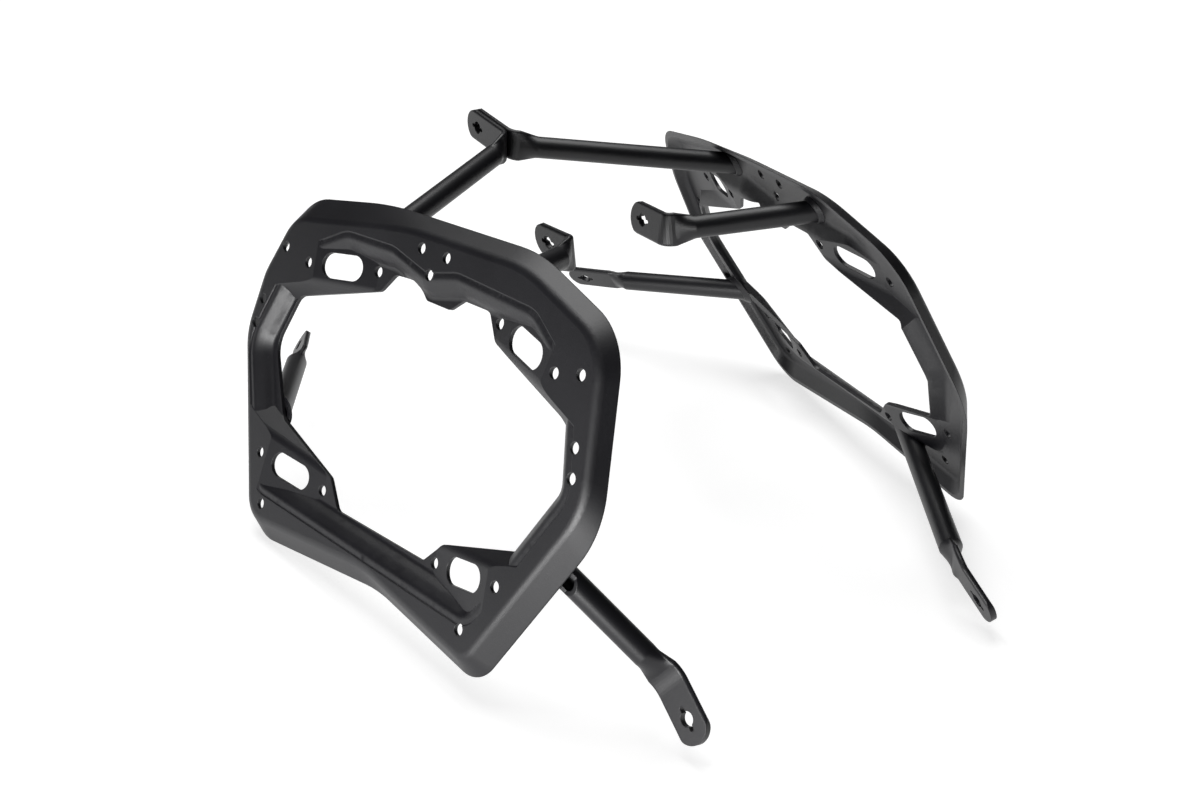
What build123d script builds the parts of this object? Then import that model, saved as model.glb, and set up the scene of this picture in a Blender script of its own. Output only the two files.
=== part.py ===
from build123d import *
import math
import os

# A pair of pannier frames for a motorbike, left and right, in black steel.
# Each half is a pressed ring plate with a turned-back flange and four tube
# struts whose crushed ends bolt to the bike. The right half mirrors the left,
# but for its lower strut, which starts further back on the plate.
# Frame: origin on the tail bolt hole, X to the right, Y rearward, Z up.

# Pressed plate
SHEET = 3.0
FLANGE_DEPTH = 12.0
BEND_RADIUS = 9.0
RECESS_DEPTH = 11.0
RECESS_RUN = 11.0
RIM_RADIUS = 10.0
FOOT_RADIUS = 4.0
LEAST_RADIUS = 1.0
PLATE_CENTRE = (-202.2, -209.3, -122.0)
PLATE_CANT = 24.0
PLATE_TOE = 7.7

# Holes in the plate
BOLT_HOLE = 8.5
SLOT_LENGTH = 44.0
SLOT_WIDTH = 20.0
LOCK_PITCH = 39.0
PAD_START = 30.0

# Tube struts
TUBE_DIAMETER = 18.0
TUBE_WALL = 2.4
CRUSH_LENGTH = 16.0
FOLD_REACH = 7.0
TAB_WIDTH = 27.0
TAB_NOSE = 18.0
TAB_HOLE = 10.5
TAB_KEY_LENGTH = 17.5
TAB_KEY_WIDTH = 3.2
TAB_SEAM = 0.2
WELD_LEG = 3.5
WELD_TOE = 0.8

# Web corners in the plate's own plane: forward, up, corner radius, and how
# far the flange of the side that starts here leans out at its edge.
WEB_CORNERS = [
    (-178, 94, 34, 18.5),
    (-25, 129, 400, 12),
    (105, 140, 120, 11),
    (196, 117, 44, 8.5),
    (227, 14, 60, 15.5),
    (165, -124, 14, 12),
    (30, -114, 140, 15.5),
    (-124, -140, 26, 5),
    (-200, -8, 50, 4),
    (-198, 38, 50, 8),
]

# Edge of the pressed-down recess at the web, with corner radii.
RECESS_CORNERS = [
    (-160, 66, 20),
    (-101, 99, 30),
    (-42, 105, 30),
    (5, 98.5, 14),
    (39, 109, 30),
    (125, 111, 24),
    (179.5, 82, 16),
    (205.5, 16, 22),
    (155, -97, 16),
    (-121, -112, 16),
    (-184, -12, 30),
]

# Edge of the big opening, with corner radii.
OPENING_CORNERS = [
    (-154, 37, 12),
    (-55, 73, 10),
    (-43, 90, 6),
    (-14, 94, 5),
    (1, 84, 6),
    (29, 86, 6),
    (41, 97, 5),
    (71, 99, 6),
    (86, 81, 10),
    (178, 59, 10),
    (194, 14, 16),
    (173, -38, 10),
    (99, -66, 10),
    (83, -86, 8),
    (-27, -95, 8),
    (-47, -76, 8),
    (-129, -58, 14),
    (-167, -8, 24),
]

# Lock stations: slot centre, slot turn in degrees, which way along the slot
# the tilted pad sinks, on which side of the slot the web lies, and the turn
# and distance of the bank that drops from the pad towards the opening.
LOCK_STATIONS = [
    (-102, 77, 13, 1, 1, 20.6, 10),
    (124, 90, -7, -1, 1, -16, 8.5),
    (-91, -89, 0, 1, -1, -12.7, 12),
    (134.5, -73, 13, -1, -1, 20.7, 9.5),
]

# Plain bolt holes in the web.
WEB_HOLES = [
    (-8.7, 119.5),
    (21.7, 121.3),
    (8, 104.3),
    (187, 92.7),
    (202, 48),
    (208, 29),
    (152, -106),
    (-175.7, 70.6),
    (-187, 22.8),
    (-188, 2.3),
    (-109.6, -125),
]

# Where each strut starts on the back of the plate, in the plate's own frame.
RECESS_BACK = -RECESS_DEPTH - SHEET
LEFT_ROOTS = {
    "tail": (-60, 112, -SHEET),
    "upper": (75, 116, -SHEET),
    "middle": (-140, -56, RECESS_BACK),
    "lower": (200, -25, -SHEET),
}
ROOTS = {"left": LEFT_ROOTS, "right": {**LEFT_ROOTS, "lower": (98, -104.5, -SHEET)}}

# Fold and bolt hole of each left strut and the way across its tab (bike frame).
TAB_THICKNESS = 2 * TUBE_WALL
STRUTS = {
    "tail": ((-TAB_THICKNESS / 2, -46, -4), (-TAB_THICKNESS / 2, 0, 0), (0, 0, 1)),
    "upper": ((-41.9, -219.9, -31.3), (-43.4, -187.5, -33.2), (-0.12, 0.06, 0.99)),
    "middle": ((-162.9, 55.9, -198.2), (-152, 78.1, -201.1), (0.52, -0.19, 0.79)),
    "lower": ((-128.1, -480, -225.9), (-129, -504.5, -241.8), (0.41, -0.51, 0.76)),
}

CANT = math.radians(PLATE_CANT)
TOE = math.radians(PLATE_TOE)
PLATE = Plane(
    origin=PLATE_CENTRE,
    x_dir=(math.sin(TOE), -math.cos(TOE), 0),
    z_dir=(-math.cos(CANT) * math.cos(TOE), -math.cos(CANT) * math.sin(TOE), math.sin(CANT)),
)
MOULD_DEPTH = RECESS_DEPTH + 4 * SHEET
CLEAR = 60.0
PLATE_SPAN = 2 * max(math.hypot(corner[0], corner[1]) for corner in WEB_CORNERS) + 2 * CLEAR
ROUND_STEPS = 3
FOLD_STEPS = 6


def moved_outline(corners, shifts, level):
    """Face whose sides are moved outward by their own shift, with round corners."""
    points = [Vector(c[0], c[1]) for c in corners]
    count = len(points)
    turning = sum(points[i - 1].cross(points[i]).Z for i in range(count))
    sense = 1 if turning > 0 else -1
    lines = []
    for i in range(count):
        way = (points[(i + 1) % count] - points[i]).normalized()
        outward = Vector(way.Y, -way.X) * sense
        lines.append((points[i] + outward * shifts[i], way))
    moved = []
    radii = []
    for i in range(count):
        before, way_in = lines[i - 1]
        after, way_out = lines[i]
        turn = way_in.cross(way_out).Z
        reach = (after - before).cross(way_out).Z / turn
        corner = before + way_in * reach
        moved.append((corner.X, corner.Y))
        mean_shift = (shifts[i - 1] + shifts[i]) / 2
        growth = mean_shift if turn * sense > 0 else -mean_shift
        radii.append(max(LEAST_RADIUS, corners[i][2] + growth))
    outline = FilletPolyline(*moved, radius=radii, close=True)
    return Pos(0, 0, level) * make_face(outline)


def block(inset):
    """Solid under the web and inside the leaning flange, set in by the given amount."""
    def shifts(level):
        result = []
        for corner in WEB_CORNERS:
            lean = corner[3] / FLANGE_DEPTH
            result.append(-level * lean - inset * math.sqrt(1 + lean * lean))
        return result

    bottom = -MOULD_DEPTH - inset
    top = moved_outline(WEB_CORNERS, shifts(-inset), -inset)
    foot = moved_outline(WEB_CORNERS, shifts(bottom), bottom)
    solid = loft([top, foot], ruled=True)
    rim = solid.faces().sort_by(Axis.Z)[-1].edges()
    return fillet(rim, BEND_RADIUS - inset)


def pad_ramp(station, inset):
    """Ground left standing under one tilted lock pad, banked off towards the opening."""
    x, y, turn, sink, web_side, bank_turn, bank_gap = station
    slope = RECESS_DEPTH / (PAD_START + LOCK_PITCH)
    lean = RECESS_RUN / RECESS_DEPTH
    start = -PAD_START - CLEAR
    end = LOCK_PITCH + CLEAR
    drop = inset * math.hypot(1, slope)

    def bank_edge(level):
        return web_side * (inset * math.hypot(1, lean) - bank_gap + lean * level)

    tilt = Polyline(
        (sink * start, slope * CLEAR - drop),
        (sink * end, -RECESS_DEPTH - slope * CLEAR - drop),
        (sink * end, -CLEAR),
        (sink * start, -CLEAR),
        close=True,
    )
    bank = Polyline(
        (bank_edge(CLEAR / 2), CLEAR / 2),
        (bank_edge(-CLEAR), -CLEAR),
        (web_side * 2 * CLEAR, -CLEAR),
        (web_side * 2 * CLEAR, CLEAR / 2),
        close=True,
    )
    bank_spot = Pos(x, y, 0) * Rot(0, 0, bank_turn)
    ground = Pos(x, y, 0) * Rot(0, 0, turn) * extrude(Plane.XZ * make_face(tilt), 2 * CLEAR, both=True)
    ground &= bank_spot * extrude(Plane.YZ * make_face(bank), 2 * CLEAR, both=True)
    level = -slope * PAD_START - drop
    brow = ground.edges().sort_by_distance((bank_spot * Pos(0, bank_edge(level), level)).position)[0]
    return fillet(brow, RIM_RADIUS - inset)


def recess_profile(inset):
    """Outward shift and level of each section of the recess wall, rim to floor."""
    steep = math.atan2(RECESS_DEPTH, RECESS_RUN)
    rim_reach = RIM_RADIUS * math.tan(steep / 2)
    foot_reach = RECESS_RUN + FOOT_RADIUS * math.tan(steep / 2)
    rim_radius = RIM_RADIUS - inset
    foot_radius = FOOT_RADIUS + inset
    turns = [steep * step / ROUND_STEPS for step in range(ROUND_STEPS + 1)]
    rim = []
    for turn in turns:
        rim.append((rim_reach - rim_radius * math.sin(turn), rim_radius * math.cos(turn) - RIM_RADIUS))
    foot = []
    for turn in reversed(turns):
        level = FOOT_RADIUS - RECESS_DEPTH - foot_radius * math.cos(turn)
        foot.append((foot_radius * math.sin(turn) - foot_reach, level))
    above = tuple(2 * first - second for first, second in zip(rim[0], rim[1]))
    return [above] + rim[1:] + foot


def recess(inset):
    """Space pressed down inside the web, rounded at its rim and its foot."""
    outlines = []
    for shift, level in recess_profile(inset):
        outlines.append(moved_outline(RECESS_CORNERS, [shift] * len(RECESS_CORNERS), level))
    space = loft(outlines)
    for station in LOCK_STATIONS:
        space -= pad_ramp(station, inset)
    return space


def mould(inset):
    """Solid whose skin is the outside of the sheet, or its inside when set in."""
    return block(inset) - recess(inset)


def flange_trim():
    """Waste below the edge of the flange, clear of the recess."""
    foot = Pos(0, 0, -FLANGE_DEPTH) * Rectangle(PLATE_SPAN, PLATE_SPAN)
    core = moved_outline(RECESS_CORNERS, [2 * SHEET] * len(RECESS_CORNERS), -FLANGE_DEPTH)
    return extrude(foot - core, -2 * MOULD_DEPTH)


def plate_cuts():
    """Everything cut through the sheet: opening, lock slots and bolt holes."""
    opening = moved_outline(OPENING_CORNERS, [0] * len(OPENING_CORNERS), -MOULD_DEPTH)
    through = 2 * MOULD_DEPTH
    cuts = [flange_trim(), extrude(opening, through)]
    round_hole = Cylinder(BOLT_HOLE / 2, through)
    for x, y, turn, *pad in LOCK_STATIONS:
        spot = Pos(x, y, 0) * Rot(0, 0, turn)
        cuts.append(spot * Pos(0, 0, -MOULD_DEPTH) * extrude(SlotOverall(SLOT_LENGTH, SLOT_WIDTH), through))
        cuts.append(spot * Pos(LOCK_PITCH, 0, 0) * round_hole)
        cuts.append(spot * Pos(-LOCK_PITCH, 0, 0) * round_hole)
    cuts.extend(Pos(x, y, 0) * round_hole for x, y in WEB_HOLES)
    return cuts


def section(origin, x_dir, z_dir, shape):
    """Flat shape stood across a strut."""
    return Plane(origin=origin, x_dir=x_dir, z_dir=z_dir) * shape


def squared(way, normal):
    """Direction turned square to a normal."""
    return (way - normal * way.dot(normal)).normalized()


def strut_frame(side, name):
    """Root, fold, hole and directions of one strut, drawn as on the left half."""
    fold, hole, wide = (Vector(*point) for point in STRUTS[name])
    root = PLATE.from_local_coords(Vector(*ROOTS[side][name]))
    axis = (fold - root).normalized()
    along = (hole - fold).normalized()
    return root, fold, hole, axis, along, squared(wide, along)


def strut_body(side, name, wall):
    """Tube run into the plate, crushed end and fold, or their bore when a wall is taken off."""
    root, fold, hole, axis, along, wide = strut_frame(side, name)
    across = squared(wide, axis)
    start = root - axis * 2 * TUBE_DIAMETER
    crush = fold - axis * (FOLD_REACH + CRUSH_LENGTH)
    round_shape = Circle(TUBE_DIAMETER / 2 - wall)
    flat_shape = SlotOverall(TAB_WIDTH - 2 * wall, TAB_SEAM if wall else TAB_THICKNESS)
    folds = []
    for step in range(FOLD_STEPS + 1):
        turn = step / FOLD_STEPS
        spot = fold - axis * FOLD_REACH * (1 - turn) ** 2 + along * FOLD_REACH * turn ** 2
        ahead = (axis * (1 - turn) + along * turn).normalized()
        folds.append(section(spot, squared(across * (1 - turn) + wide * turn, ahead), ahead, flat_shape))
    tube = section(start, across, axis, round_shape)
    shoulder = section(crush, across, axis, round_shape)
    body = extrude(tube, (crush - start).length) + loft([shoulder, folds[0]]) + loft(folds, ruled=True)
    return body, folds[-1]


def strut(side, name):
    """Strut with its keyed tab and root end running on, and the bore to take out of it."""
    root, fold, hole, axis, along, wide = strut_frame(side, name)
    body, flat = strut_body(side, name, 0)
    bore = strut_body(side, name, TUBE_WALL)[0]
    reach = (hole - fold).length - FOLD_REACH
    tab = extrude(flat, reach + TAB_NOSE)
    flat_plane = Plane(origin=hole, x_dir=along, z_dir=along.cross(wide))
    round_at = TAB_NOSE - TAB_WIDTH / 2
    straight = reach + round_at
    outline = Pos(round_at - straight / 2, 0) * Rectangle(straight, TAB_WIDTH)
    outline += Pos(round_at, 0) * Circle(TAB_WIDTH / 2)
    tab &= extrude(flat_plane * outline, TAB_THICKNESS, both=True)
    key = Circle(TAB_HOLE / 2) + SlotOverall(TAB_KEY_LENGTH, TAB_KEY_WIDTH)
    tab -= extrude(flat_plane * key, TAB_THICKNESS, both=True)
    return body + tab, bore


def weld(side, name):
    """Sloped bead around the tube where it meets the back of the sheet."""
    root, fold, hole, axis, along, wide = strut_frame(side, name)
    fall = -axis.dot(PLATE.z_dir)
    lean = axis + PLATE.z_dir * fall
    long_radius = TUBE_DIAMETER / 2 / fall
    short_radius = TUBE_DIAMETER / 2
    rings = []
    for depth, spread in ((0, WELD_LEG), (WELD_LEG, WELD_TOE)):
        spot = root + axis * depth / fall
        ring_plane = Plane(origin=spot, x_dir=lean.normalized(), z_dir=PLATE.z_dir)
        rings.append(ring_plane * Ellipse(long_radius + spread, short_radius + spread))
    return loft(rings)


def trimmed(shape, *cutters):
    """Largest solid left after each cutter has been taken away."""
    for cutter in cutters:
        shape = max((shape - cutter).solids(), key=lambda solid: solid.volume)
    return shape


def half(side, sheet, roof):
    """All pieces of one half, drawn as on the left."""
    plate = sheet
    pieces = {}
    for name in STRUTS:
        solid, bore = strut(side, name)
        solid = trimmed(solid, roof)
        plate = trimmed(plate, solid)
        pieces[name + "_strut"] = trimmed(solid, bore)
        pieces[name + "_weld"] = trimmed(weld(side, name), roof, plate, solid)
    pieces["plate"] = plate
    return pieces


def main():
    inner = mould(SHEET)
    sheet = mould(0) - inner
    for cut in plate_cuts():
        sheet -= cut
    roof_foot = Pos(0, 0, RECESS_BACK - SHEET) * Rectangle(PLATE_SPAN, PLATE_SPAN)
    roof = PLATE.location * (extrude(roof_foot, CLEAR) - inner)
    os.makedirs("parts", exist_ok=True)
    for side in ROOTS:
        for name, shape in half(side, PLATE.location * sheet, roof).items():
            if side == "right":
                shape = mirror(shape, about=Plane.YZ)
            export_step(shape, "parts/" + side + "_" + name + ".step")
            print(side, name, round(shape.volume), shape.is_valid, len(shape.solids()))


main()
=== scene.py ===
"""Pannier frame: satin black powder coat, studio floor, lights and camera."""
import math

import bmesh
import bpy
from mathutils import Matrix, Vector


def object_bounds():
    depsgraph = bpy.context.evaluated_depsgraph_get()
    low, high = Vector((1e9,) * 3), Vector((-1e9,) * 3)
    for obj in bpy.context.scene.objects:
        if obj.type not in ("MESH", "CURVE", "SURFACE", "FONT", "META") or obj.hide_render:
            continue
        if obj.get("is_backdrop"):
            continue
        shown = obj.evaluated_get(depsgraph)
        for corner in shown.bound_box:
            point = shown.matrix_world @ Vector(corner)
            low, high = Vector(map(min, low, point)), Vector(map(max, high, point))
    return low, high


bl_info = {
    "name": "Pannier Frame",
    "version": (1, 0, 0),
    "blender": (4, 5, 0),
    "location": "3D View > Sidebar > Pannier",
    "description": "Coats the pannier frame in satin black and sets it in a plain studio",
    "category": "Object",
}

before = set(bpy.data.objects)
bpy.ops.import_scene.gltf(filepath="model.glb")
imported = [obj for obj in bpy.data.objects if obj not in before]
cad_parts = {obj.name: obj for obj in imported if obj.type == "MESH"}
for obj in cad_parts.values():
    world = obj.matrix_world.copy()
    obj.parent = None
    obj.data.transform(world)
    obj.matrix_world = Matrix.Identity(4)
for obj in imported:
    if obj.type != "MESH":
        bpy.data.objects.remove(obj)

# Grain of the coat: where noise turns to clouds and to dust, and what they change.
CLOUD_EDGES = (0.30, 0.70)
DUSTY_CLOUD_EDGES = (0.45, 0.70)
SPECK_EDGES = (0.62, 0.74)
CLOUD_TONE = 0.6
DUST_TONE = 0.4
CLOUD_ROUGHNESS = 0.10
PEEL_ROUGHNESS = 0.08
DUST_ROUGHNESS = 0.10
MEAN_NOISE = 0.5
EDGE_SAMPLES = 6
WELD_LUMPS = 4.0

# Softboxes: width and height, and place from the middle of the frame, in metres.
TOP_SIZE = (1.4, 1.4)
TOP_PLACE = Vector((0.1, 0.6, 1.7))
LEFT_SIZE = (0.9, 0.34)
LEFT_PLACE = Vector((-1.35, -0.62, -0.02))

# Floor: how far it lies under the frame, and where its glow eases to white.
FLOOR_DROP = 0.001
GLOW_EDGES = (0.5, 2.5)

# Camera of the photo: place in metres, turn and fall in degrees, sensor in mm.
CAMERA_PLACE = Vector((-0.6203, -1.178, 0.421))
CAMERA_TURN = -32.12
CAMERA_FALL = 27.29
CAMERA_SENSOR = 36.0


class Value:
    """A shader socket that adds, subtracts and multiplies like a number."""

    def __init__(self, tree, socket):
        self.tree = tree
        self.socket = socket

    def node(self, kind, settings, sockets, output=0):
        """Adds a node, sets it up, fills its sockets and gives one of its outputs."""
        made = self.tree.nodes.new(kind)
        for key, setting in settings.items():
            setattr(made, key, setting)
        for key, value in sockets.items():
            if isinstance(value, Value):
                self.tree.links.new(value.socket, made.inputs[key])
            else:
                made.inputs[key].default_value = value
        return Value(self.tree, made.outputs[output]) if made.outputs else None

    def math(self, operation, first, second):
        """One Math node on two values or numbers."""
        return self.node("ShaderNodeMath", {"operation": operation}, {0: first, 1: second})

    def __add__(self, other):
        return self.math("ADD", self, other)

    def __radd__(self, other):
        return self.math("ADD", other, self)

    def __sub__(self, other):
        return self.math("SUBTRACT", self, other)

    def __rsub__(self, other):
        return self.math("SUBTRACT", other, self)

    def __mul__(self, other):
        return self.math("MULTIPLY", self, other)

    def __rmul__(self, other):
        return self.math("MULTIPLY", other, self)

    def noise(self, scale, detail):
        """Noise at this place, with so many grains in a metre."""
        return self.node("ShaderNodeTexNoise", {}, {"Vector": self, "Scale": scale, "Detail": detail})

    def smooth(self, low, high):
        """Eases from 0 to 1 as the value passes from low to high."""
        limits = {"Value": self, "From Min": low, "From Max": high}
        return self.node("ShaderNodeMapRange", {"interpolation_type": "SMOOTHSTEP"}, limits)

    def colours(self, dark, light):
        """Mixes two colours by this value."""
        ends = {"Factor": self, 6: (*dark, 1.0), 7: (*light, 1.0)}
        return self.node("ShaderNodeMix", {"data_type": "RGBA"}, ends, output=2)


def new_material(name):
    """An empty node material and its Object coordinates."""
    material = bpy.data.materials.new(name)
    material.use_nodes = True
    tree = material.node_tree
    tree.nodes.clear()
    coordinates = tree.nodes.new("ShaderNodeTexCoord")
    return material, Value(tree, coordinates.outputs["Object"])


def powder_coat(name, coat, lumps):
    """Satin black powder coat: orange peel, faint clouding, a little dust and soft edges."""
    material, place = new_material(name)
    clouds = place.noise(coat.cloud_scale, 3.0)
    specks = place.noise(coat.speck_scale, 2.0)
    peel = place.noise(coat.peel_scale, 3.0)
    beads = place.noise(coat.lump_scale, 1.5)
    dust = specks.smooth(*SPECK_EDGES) * clouds.smooth(*DUSTY_CLOUD_EDGES)
    tone = clouds.smooth(*CLOUD_EDGES) * CLOUD_TONE + dust * DUST_TONE
    roughness = coat.roughness + (clouds - MEAN_NOISE) * CLOUD_ROUGHNESS
    roughness = roughness + (peel - MEAN_NOISE) * PEEL_ROUGHNESS + dust * DUST_ROUGHNESS
    edges = place.node("ShaderNodeBevel", {"samples": EDGE_SAMPLES}, {"Radius": coat.edge_radius})
    relief = {
        "Height": peel + beads * lumps,
        "Strength": coat.peel_strength,
        "Distance": coat.peel_height,
        "Normal": edges,
    }
    surface = {
        "Base Color": tone.colours(coat.colour, coat.dust_colour),
        "Roughness": roughness,
        "IOR": coat.gloss_index,
        "Normal": place.node("ShaderNodeBump", {}, relief),
    }
    shader = place.node("ShaderNodeBsdfPrincipled", {}, surface)
    place.node("ShaderNodeOutputMaterial", {}, {"Surface": shader})
    return material


def coat_nodes(ending, material):
    """Puts a finish on every CAD node whose name has the given ending."""
    names = [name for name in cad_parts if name.endswith(ending)]
    if not names:
        raise RuntimeError("no node ends in " + ending)
    for name in names:
        mesh = bpy.data.objects[name].data
        mesh.materials.clear()
        mesh.materials.append(material)


class CoatSettings(bpy.types.PropertyGroup):
    """Colour and texture of the powder coat."""

    colour: bpy.props.FloatVectorProperty(
        name="Colour", description="Black of the coat", subtype="COLOR", size=3,
        default=(0.0034, 0.0033, 0.0048), min=0.0, max=1.0,
    )
    dust_colour: bpy.props.FloatVectorProperty(
        name="Dust colour", description="Paler black where a little dust has settled", subtype="COLOR",
        size=3, default=(0.0062, 0.0060, 0.0080), min=0.0, max=1.0,
    )
    roughness: bpy.props.FloatProperty(
        name="Roughness", description="Softness of the sheen", subtype="FACTOR",
        default=0.43, min=0.0, max=1.0,
    )
    gloss_index: bpy.props.FloatProperty(
        name="Gloss index", description="Refractive index of the coat", default=1.5, min=1.0,
    )
    cloud_scale: bpy.props.FloatProperty(
        name="Clouding", description="Clouds of tone in a metre", default=14.0,
    )
    speck_scale: bpy.props.FloatProperty(
        name="Dust specks", description="Specks of dust in a metre", default=420.0,
    )
    peel_scale: bpy.props.FloatProperty(
        name="Orange peel", description="Grains of orange peel in a metre", default=900.0,
    )
    peel_strength: bpy.props.FloatProperty(
        name="Orange peel strength", description="Strength of the grain", subtype="FACTOR",
        default=0.18, min=0.0, max=1.0,
    )
    peel_height: bpy.props.FloatProperty(
        name="Orange peel height", description="Height of the grain", unit="LENGTH",
        default=0.0004,
    )
    lump_scale: bpy.props.FloatProperty(
        name="Weld lumps", description="Lumps of weld in a metre", default=330.0,
    )
    edge_radius: bpy.props.FloatProperty(
        name="Edge radius", description="Rounding of cut edges under the coat", unit="LENGTH",
        default=0.0008,
    )


class StageSettings(bpy.types.PropertyGroup):
    """Floor, lights and camera."""

    floor_colour: bpy.props.FloatVectorProperty(
        name="Floor colour", description="Pale studio floor", subtype="COLOR", size=3,
        default=(0.55, 0.55, 0.55), min=0.0, max=1.0,
    )
    floor_half: bpy.props.FloatProperty(
        name="Floor reach", description="Half the width of the floor", unit="LENGTH", default=80.0,
    )
    floor_glow: bpy.props.FloatProperty(
        name="Floor glow", description="Lift of the floor towards white near the frame", default=0.70,
    )
    room_light: bpy.props.FloatProperty(
        name="Room light", description="Strength of the plain room light", default=0.025,
    )
    top_power: bpy.props.FloatProperty(
        name="Top light", description="Power of the softbox overhead", unit="POWER", default=30.0,
    )
    left_power: bpy.props.FloatProperty(
        name="Left light", description="Power of the low softbox on the left", unit="POWER",
        default=30.0,
    )
    lens: bpy.props.FloatProperty(
        name="Lens", description="Focal length of the camera", default=48.0,
    )


class PANNIER_OT_coat_plates(bpy.types.Operator):
    """Coats the two pressed ring plates"""

    bl_idname = "pannier.coat_plates"
    bl_label = "Coat ring plates"

    def execute(self, context):
        coat_nodes("_plate", powder_coat("plate_powder_coat", context.scene.pannier_coat, 0.0))
        return {"FINISHED"}


class PANNIER_OT_coat_struts(bpy.types.Operator):
    """Coats the tube struts and their crushed tabs"""

    bl_idname = "pannier.coat_struts"
    bl_label = "Coat struts"

    def execute(self, context):
        coat_nodes("_strut", powder_coat("strut_powder_coat", context.scene.pannier_coat, 0.0))
        return {"FINISHED"}


class PANNIER_OT_coat_welds(bpy.types.Operator):
    """Coats the weld beads, lumpy under the same black"""

    bl_idname = "pannier.coat_welds"
    bl_label = "Coat welds"

    def execute(self, context):
        coat_nodes("_weld", powder_coat("weld_powder_coat", context.scene.pannier_coat, WELD_LUMPS))
        return {"FINISHED"}


class PANNIER_OT_set_stage(bpy.types.Operator):
    """Lays the floor, hangs the lights and places the camera"""

    bl_idname = "pannier.set_stage"
    bl_label = "Set stage"

    def execute(self, context):
        stage = context.scene.pannier_stage
        low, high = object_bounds()
        middle = (low + high) / 2
        self.lay_floor(stage, low.z - FLOOR_DROP)
        self.light_room(context.scene, stage)
        self.hang_light("top_softbox", stage.top_power, TOP_SIZE, middle + TOP_PLACE, middle)
        self.hang_light("left_softbox", stage.left_power, LEFT_SIZE, middle + LEFT_PLACE, middle)
        self.place_camera(context.scene, stage)
        context.scene.view_settings.view_transform = "Standard"
        return {"FINISHED"}

    def lay_floor(self, stage, level):
        """A wide pale floor that is seen as nearly white and keeps the shadow."""
        grid = bmesh.new()
        sink = Matrix.Translation((0.0, 0.0, level))
        bmesh.ops.create_grid(grid, x_segments=1, y_segments=1, size=stage.floor_half, matrix=sink)
        mesh = bpy.data.meshes.new("studio_floor")
        grid.to_mesh(mesh)
        grid.free()
        floor = bpy.data.objects.new("studio_floor", mesh)
        bpy.context.scene.collection.objects.link(floor)
        material, place = new_material("studio_floor")
        matt = place.node("ShaderNodeBsdfDiffuse", {}, {"Color": (*stage.floor_colour, 1.0)})
        seen = place.node("ShaderNodeLightPath", {}, {}, output="Is Camera Ray")
        for ray in ("Is Glossy Ray", "Is Transmission Ray"):
            seen = seen + place.node("ShaderNodeLightPath", {}, {}, output=ray)
        reach = place.node("ShaderNodeVectorMath", {"operation": "LENGTH"}, {0: place}, output="Value")
        lift = stage.floor_glow + reach.smooth(*GLOW_EDGES) * (1.0 - stage.floor_glow)
        glow = place.node("ShaderNodeEmission", {}, {"Strength": seen * lift})
        both = place.node("ShaderNodeAddShader", {}, {0: matt, 1: glow})
        place.node("ShaderNodeOutputMaterial", {}, {"Surface": both})
        mesh.materials.append(material)
        floor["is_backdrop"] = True

    def light_room(self, scene, stage):
        """Even dim light from all around."""
        world = bpy.data.worlds.new("studio_room")
        scene.world = world
        world.use_nodes = True
        background = world.node_tree.nodes["Background"]
        background.inputs["Color"].default_value = (1.0, 1.0, 1.0, 1.0)
        background.inputs["Strength"].default_value = stage.room_light

    def hang_light(self, name, power, size, place, target):
        """A softbox at a place, turned to face the target."""
        light = bpy.data.lights.new(name, "AREA")
        light.energy = power
        light.shape = "RECTANGLE"
        light.size, light.size_y = size
        lamp = bpy.data.objects.new(name, light)
        bpy.context.scene.collection.objects.link(lamp)
        turn = (target - place).to_track_quat("-Z", "Y").to_matrix().to_4x4()
        lamp.matrix_world = Matrix.Translation(place) @ turn

    def place_camera(self, scene, stage):
        """The camera where the photo was taken from."""
        data = bpy.data.cameras.new("photo_camera")
        data.sensor_width = CAMERA_SENSOR
        data.lens = stage.lens
        data.dof.use_dof = False
        camera = bpy.data.objects.new("photo_camera", data)
        scene.collection.objects.link(camera)
        turn, fall = math.radians(CAMERA_TURN), math.radians(CAMERA_FALL)
        level = Vector((-math.sin(turn), math.cos(turn), 0.0)) * math.cos(fall)
        ahead = level - Vector((0.0, 0.0, math.sin(fall)))
        place = Matrix.Translation(CAMERA_PLACE)
        camera.matrix_world = place @ ahead.to_track_quat("-Z", "Y").to_matrix().to_4x4()
        scene.camera = camera


class PANNIER_PT_panel(bpy.types.Panel):
    """Pannier frame tools"""

    bl_label = "Pannier Frame"
    bl_idname = "PANNIER_PT_panel"
    bl_space_type = "VIEW_3D"
    bl_region_type = "UI"
    bl_category = "Pannier"

    def draw(self, context):
        layout = self.layout
        for group in (context.scene.pannier_coat, context.scene.pannier_stage):
            for name in group.bl_rna.properties.keys():
                if name not in ("rna_type", "name"):
                    layout.prop(group, name)
        for step in STEPS:
            layout.operator(step.bl_idname)


STEPS = (
    PANNIER_OT_coat_plates,
    PANNIER_OT_coat_struts,
    PANNIER_OT_coat_welds,
    PANNIER_OT_set_stage,
)
CLASSES = (CoatSettings, StageSettings, *STEPS, PANNIER_PT_panel)


def register():
    for item in CLASSES:
        bpy.utils.register_class(item)
    bpy.types.Scene.pannier_coat = bpy.props.PointerProperty(type=CoatSettings)
    bpy.types.Scene.pannier_stage = bpy.props.PointerProperty(type=StageSettings)


def unregister():
    del bpy.types.Scene.pannier_stage
    del bpy.types.Scene.pannier_coat
    for item in reversed(CLASSES):
        bpy.utils.unregister_class(item)


def main():
    register()
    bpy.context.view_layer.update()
    bpy.ops.pannier.coat_plates()
    bpy.ops.pannier.coat_struts()
    bpy.ops.pannier.coat_welds()
    bpy.ops.pannier.set_stage()


if __name__ == "__main__":
    main()
